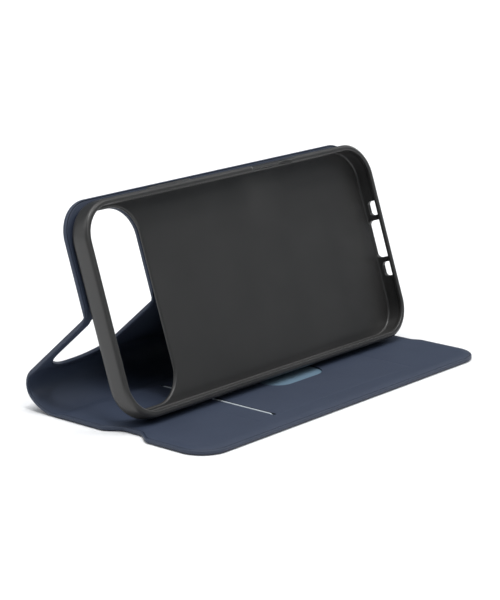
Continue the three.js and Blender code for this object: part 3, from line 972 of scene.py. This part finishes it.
def add_floor(patches, stations, outward, sections):
    """The tray's floor and back, with the camera opening between them."""
    hole = camera_outline(CAMERA_LOW, CAMERA_HIGH)[::-1]
    filler = grid(np.arange(-TRAY_HALF + 6, TRAY_HALF - 5, 5), np.arange(TRAY_BOTTOM + 6, TRAY_TOP - 5, 5))
    for row, (across, _) in ((0, HOLE_EDGES["back"]), (-1, HOLE_EDGES["front"])):
        grown = moved_in(hole, across)
        border = stations - outward * sections[:, row, :1]
        height = sections[0, row, 1]
        rings = np.vstack([moved_in(border, 0.25), moved_in(hole, across + 0.12)])
        rings = rings[is_inside(rings, [border, grown])]
        rings = rings[distance_to(rings, [border, grown]) > 0.08]
        inner = filler[is_inside(filler, [border, grown])]
        inner = inner[distance_to(inner, [border, grown]) > 1.5]
        flat, triangles = triangulate([border, grown], np.vstack([rings, inner]))
        patches.add(on_tray(flat[:, 0], flat[:, 1], np.full(len(flat), height)), triangles)

    def rounding(turn, face, way, edge):
        across, deep = edge
        spot = moved_in(hole, across * (1 - math.sin(turn)))
        return on_tray(spot[:, 0], spot[:, 1], face + way * deep * (1 - math.cos(turn)))

    turns = np.radians(range(0, 91, 15))
    front = [rounding(turn, TRAY_FLOOR, -1, HOLE_EDGES["front"]) for turn in turns]
    back = [rounding(turn, 0, 1, HOLE_EDGES["back"]) for turn in turns[::-1]]
    patches.strip(front + back)


def make_button(name, side, centre, length, proud, material):
    """A pill-shaped cover with a soft dome that stands a little out of the wall."""
    wall = TRAY_TOP if side > 0 else TRAY_BOTTOM
    low = BUTTON_CROWN["low"]

    def ring(shrink, inset):
        half, tall = length / 2 - shrink, BUTTON_HEIGHT / 2 - shrink
        corner = max(BUTTON_HEIGHT / 2 - 0.02 - shrink, 0.05)
        low_side, high_side = BUTTON_MIDDLE - tall, BUTTON_MIDDLE + tall
        loop = rounded(centre - half, centre + half, low_side, high_side, corner, corner, 1)
        return on_tray(loop[:, 0], np.full(len(loop), wall - side * inset), loop[:, 1])

    rings = [ring(shrink, TRAY_WALL - out) for shrink, out in ((0.9, 0), (0.3, 0), (0.08, 0.08), (0, 0.3))]
    rings.append(ring(0, low))
    for turn in np.radians(range(15, 91, 15)):
        rings.append(ring(BUTTON_CROWN["reach"] * (1 - math.cos(turn)), low - (proud + low) * math.sin(turn)))
    rings.append(ring(BUTTON_CROWN["top_reach"], -proud - BUTTON_CROWN["top"]))
    patches = Patches()
    patches.strip(rings)
    for end in (rings[0], rings[-1]):
        patches.add(end, [range(len(end))])
    return patches.piece(name, material)


# -------- materials
class Shader:
    """A small wrapper that builds one procedural material."""

    def __init__(self, name):
        self.material = bpy.data.materials.new(name)
        self.material.use_nodes = True
        self.tree = self.material.node_tree
        self.surface = self.tree.nodes["Principled BSDF"]

    def fill(self, node, inputs):
        """Sets a node's inputs to values or links them to other nodes' outputs."""
        for key, value in inputs.items():
            target = node.inputs[key.replace("_", " ")]
            if isinstance(value, bpy.types.NodeSocket):
                self.tree.links.new(value, target)
            else:
                target.default_value = value

    def node(self, kind, **inputs):
        made = self.tree.nodes.new("ShaderNode" + kind)
        self.fill(made, inputs)
        return made

    def flat_chart(self):
        chart = self.node("UVMap")
        chart.uv_map = "Flat"
        return chart.outputs["UV"]

    def object_chart(self):
        return self.scaled(self.node("TexCoord").outputs["Object"], (10, 10, 10))

    def scaled(self, chart, scale):
        return self.node("Mapping", Vector=chart, Scale=scale).outputs["Vector"]

    def noise(self, chart, scale, detail):
        made = self.node("TexNoise", Vector=chart, Scale=scale, Detail=detail, Roughness=0.55)
        return made.outputs["Fac"]

    def cells(self, chart, scale):
        made = self.node("TexVoronoi", Vector=chart, Scale=scale)
        made.feature = "DISTANCE_TO_EDGE"
        return made.outputs["Distance"]

    def between(self, factor, low, high):
        return self.node("MapRange", Value=factor, To_Min=low, To_Max=high).outputs["Result"]

    def colours(self, factor, first, second):
        ramp = self.node("ValToRGB", Fac=factor)
        for stop, place, colour in zip(ramp.color_ramp.elements, (0.3, 0.7), (first, second)):
            stop.position = place
            stop.color = (*colour, 1)
        return ramp.outputs["Color"]

    def two_looks(self, factor, first, second):
        """Colours from the first tones, and from the second where Backing marks the piece."""
        backing = self.node("Attribute")
        backing.attribute_name = "Backing"
        made = self.node("Mix")
        made.data_type = "RGBA"
        sockets = {socket.identifier: socket for socket in (*made.inputs, *made.outputs)}
        link = self.tree.links.new
        link(backing.outputs["Fac"], sockets["Factor_Float"])
        link(self.colours(factor, *first), sockets["A_Color"])
        link(self.colours(factor, *second), sockets["B_Color"])
        return sockets["Result_Color"]

    def bump(self, height, strength, distance, **after):
        made = self.node("Bump", Height=height, Strength=strength, Distance=distance, **after)
        return made.outputs["Normal"]

    def finished(self, **inputs):
        """The material, once its surface's inputs are filled."""
        self.fill(self.surface, inputs)
        return self.material


def leather(name, face, back, roughness, grain=0.1):
    """Grained leather: two tones for its face, and two darker ones, painted shade, where Backing marks its
    other side.
    """
    shader = Shader(name)
    place = shader.flat_chart()
    fine = shader.noise(place, 160, 3)
    small = shader.bump(shader.cells(place, 190), grain, 0.00006)
    return shader.finished(
        Base_Color=shader.two_looks(shader.noise(place, 6, 2), face, back),
        Roughness=shader.between(fine, *roughness),
        Normal=shader.bump(fine, grain * 1.5, 0.00008, Normal=small),
        Specular_IOR_Level=0.42,
    )


def rubber(name, dark, light, roughness):
    shader = Shader(name)
    place = shader.object_chart()
    broad = shader.noise(place, 5, 2)
    return shader.finished(
        Base_Color=shader.colours(broad, dark, light),
        Roughness=shader.between(broad, *roughness),
        Normal=shader.bump(shader.noise(place, 260, 2), 0.12, 0.00005),
        Specular_IOR_Level=0.45,
    )


def cloth(name, plain, fold_highlight):
    """Woven cloth, with a painted highlight where Backing marks its fold along the slit."""
    shader = Shader(name)
    place = shader.flat_chart()
    weave = shader.node("Math")
    weave.operation = "MULTIPLY"
    for direction, factor in zip("XY", weave.inputs):
        wave = shader.node("TexWave", Vector=place, Scale=52)
        wave.bands_direction = direction
        shader.tree.links.new(wave.outputs["Fac"], factor)
    broad = shader.noise(place, 9, 3)
    return shader.finished(
        Base_Color=shader.two_looks(broad, plain, fold_highlight),
        Roughness=shader.between(broad, 0.7, 0.85),
        Normal=shader.bump(weave.outputs["Value"], 0.25, 0.00008),
        Sheen_Weight=0.15,
    )


def board(name):
    shader = Shader(name)
    fibres = shader.noise(shader.scaled(shader.object_chart(), (1, 6, 6)), 30, 5)
    return shader.finished(
        Base_Color=shader.colours(fibres, (0.2, 0.18, 0.14), (0.33, 0.3, 0.25)),
        Roughness=shader.between(fibres, 0.8, 0.95),
        Normal=shader.bump(fibres, 0.3, 0.0001),
    )


def plated_steel(name):
    shader = Shader(name)
    brushed = shader.noise(shader.scaled(shader.object_chart(), (1, 40, 40)), 12, 4)
    return shader.finished(
        Base_Color=shader.colours(brushed, (0.3, 0.31, 0.33), (0.4, 0.41, 0.42)),
        Roughness=shader.between(brushed, 0.25, 0.42),
        Metallic=1.0,
    )


def glue_film(name):
    shader = Shader(name)
    mottled = shader.noise(shader.object_chart(), 20, 3)
    return shader.finished(
        Base_Color=shader.colours(mottled, (0.6, 0.58, 0.5), (0.74, 0.72, 0.64)),
        Roughness=shader.between(mottled, 0.3, 0.45),
    )


# -------- putting the object together
# Painted shade: the cover's outer face takes a darker copy of the same navy leather, as where it lies in
# shade.
OUTER_SIDE_SHADE_TONES = (0.017, 0.023, 0.042), (0.020, 0.028, 0.050)
INNER_TONES = (0.0290, 0.0395, 0.0670), (0.0325, 0.0440, 0.0735)
# Painted shade: near-black on the lining's cut edges and underside, standing for the shade in the slit's gap.
CUT_EDGE_SHADE_TONES = (0.006, 0.007, 0.011), (0.007, 0.008, 0.012)
PLAIN_TONES = (0.080, 0.145, 0.205), (0.094, 0.168, 0.237)
# Painted highlight: the pale tones along the cloth's fold in the slit.
FOLD_HIGHLIGHT_TONES = (0.44, 0.49, 0.53), (0.52, 0.57, 0.61)
TRAY_TONES = (0.0312, 0.0305, 0.0296), (0.0350, 0.0342, 0.0332)
outer_leather = leather("Navy cover leather", INNER_TONES, OUTER_SIDE_SHADE_TONES, (0.5, 0.62))
lining_leather = leather("Navy lining", INNER_TONES, CUT_EDGE_SHADE_TONES, (0.5, 0.62), 0.08)
tray_rubber = rubber("Grey tray rubber", *TRAY_TONES, (0.3, 0.38))
blue_cloth = cloth("Light blue pocket cloth", PLAIN_TONES, FOLD_HIGHLIGHT_TONES)
raw_board = board("Raw board")
steel = plated_steel("Plated steel")
film = glue_film("Adhesive film")


def point_on_cover(s, depth):
    """A point of the folded cover's middle line, in metres."""
    return tuple(cover_fold.place(np.zeros(1), np.array([s]), np.array([depth]))[0] * MM)


def blend_over(obj, low, high, depth):
    point_on_cover(low, depth)
    point_on_cover(high, depth)
    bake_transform(obj)


def attach_cover(pieces, prefix, flap_nodes, spine_nodes, back_nodes, depth):
    flap, spine, back = (pieces[prefix + end] for end in ("_flap", "_spine", "_back"))
    blend_over(flap, S_LOWER, S_BEND_SEAM, depth)
    blend_over(spine, S_BEND_SEAM, S_LEG, depth)
    blend_over(back, S_CREASE - 1.5, S_PANEL + 1.5, depth)
    for obj, nodes in ((flap, flap_nodes), (spine, spine_nodes), (back, back_nodes)):
        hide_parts(*nodes)


attach_cover(
    make_outer_skin(outer_leather), "outer_leather",
    ["flap_outer_skin"], ["spine_outer_skin", "leg_outer_skin"], ["back_outer_skin"], 0.0,
)
attach_cover(
    make_lining(lining_leather), "lining",
    ["flap_inner_lining", "flap_bend_lining"], ["spine_lining", "leg_bend_lining"], ["leg_lining"],
    0.8,
)
pocket = make_pocket_liner(blue_cloth)
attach(pocket, "front_flap")
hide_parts("flap_pocket_liner")

boards = make_boards(raw_board)
for name, body, node in (
    ("flap_core_board", "front_flap", "flap_board"),
    ("leg_core_board", "stand_leg", "leg_board"),
    ("back_core_board", "phone_tray", "back_board"),
):
    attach(boards[name], body)
    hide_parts(node)
pocket_frame = make_pocket_frame(raw_board)
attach(pocket_frame, "front_flap")
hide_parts("flap_pocket_frame")

tray = make_tray(tray_rubber)
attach(tray, "phone_tray")
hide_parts("tray_shell")

for body, (side, centre, length, proud) in BUTTONS.items():
    button = make_button(body + "_pill", side, centre, length, proud, tray_rubber)
    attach(button, body)
    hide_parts(body + "_cover")

for node, obj in frame["nodes"].items():
    look = raw_board
    if "magnet" in node or "keeper" in node:
        look = steel
    if "adhesive" in node:
        look = film
    obj.data.materials.clear()
    obj.data.materials.append(look)


# -------- floor, light and camera
FLOOR_RADIUS = 12
FLOOR_SIDES = 96
FLOOR_DROP = 0.0003


def make_stage():
    turns = np.linspace(0, 2 * math.pi, FLOOR_SIDES, endpoint=False)
    rim = [(FLOOR_RADIUS * math.cos(a), FLOOR_RADIUS * math.sin(a), -FLOOR_DROP) for a in turns]
    mesh = bpy.data.meshes.new("studio_floor")
    mesh.from_pydata(rim, [], [range(FLOOR_SIDES)])
    pale = Shader("Pale floor").finished(Base_Color=(0.96, 0.96, 0.96, 1), Roughness=0.9)
    floor = finish_mesh("studio_floor", mesh, pale)
    world = bpy.data.worlds.new("Studio")
    world.use_nodes = True
    background = world.node_tree.nodes["Background"]
    background.inputs["Color"].default_value = (0.5, 0.72, 1, 1)
    background.inputs["Strength"].default_value = 0.08
    bpy.context.scene.world = world


# Soft boxes far away: the compass bearing that the light comes from, with 0 in front of the flap and -90 on
# the side of the camera opening, how high it stands, its share of the light and how wide it looks.
SUNS = [
    (0, 90, 0.45, 45), (-30, 72, 0.26, 12), (-90, 45, 0.07, 20), (-135, 15, 0.11, 45), (-135, 45, 0.18, 45),
    (90, 15, 0.17, 25), (45, 45, 0.19, 25), (0, 45, 0.20, 45), (100, 45, 0.07, 45),
]


def soft_sun(azimuth, elevation, share, width):
    data = bpy.data.lights.new("Soft_box", "SUN")
    data.energy = math.pi * share
    data.angle = math.radians(width)
    around, up = math.radians(azimuth), math.radians(elevation)
    towards = Vector((math.sin(around) * math.cos(up), -math.cos(around) * math.cos(up), math.sin(up)))
    lamp = bpy.data.objects.new("Soft_box", data)
    lamp.rotation_euler = (-towards).to_track_quat("-Z", "Y").to_euler()
    bpy.context.scene.collection.objects.link(lamp)


# The camera's angles are in degrees, and its target and distance in metres.
VIEW = {
    "lens": 124.94, "azimuth": 49.08, "elevation": 14.602, "roll": -0.233,
    "target": (0.013039, 0.01799, 0.025912), "distance": 0.79234,
}


def make_camera():
    """A low view of the open case, from the camera-opening end of the tray's open side."""
    data = bpy.data.cameras.new("Camera")
    data.lens = VIEW["lens"]
    data.sensor_width = 36
    data.clip_end = 40
    azimuth, elevation, roll = (math.radians(VIEW[key]) for key in ("azimuth", "elevation", "roll"))
    ahead = math.cos(elevation)
    forward = Vector((math.sin(azimuth) * ahead, math.cos(azimuth) * ahead, -math.sin(elevation)))
    level = Vector((math.cos(azimuth), -math.sin(azimuth), 0))
    upward = level.cross(forward)
    right = level * math.cos(roll) + upward * math.sin(roll)
    top = upward * math.cos(roll) - level * math.sin(roll)
    axes = Matrix((right, top, -forward)).transposed().to_4x4()
    camera = bpy.data.objects.new("Camera", data)
    camera.matrix_world = Matrix.Translation(Vector(VIEW["target"]) - forward * VIEW["distance"]) @ axes
    bpy.context.scene.collection.objects.link(camera)
    bpy.context.scene.camera = camera


make_stage()
for sun in SUNS:
    soft_sun(*sun)
make_camera()
bpy.context.scene.view_settings.view_transform = "Standard"
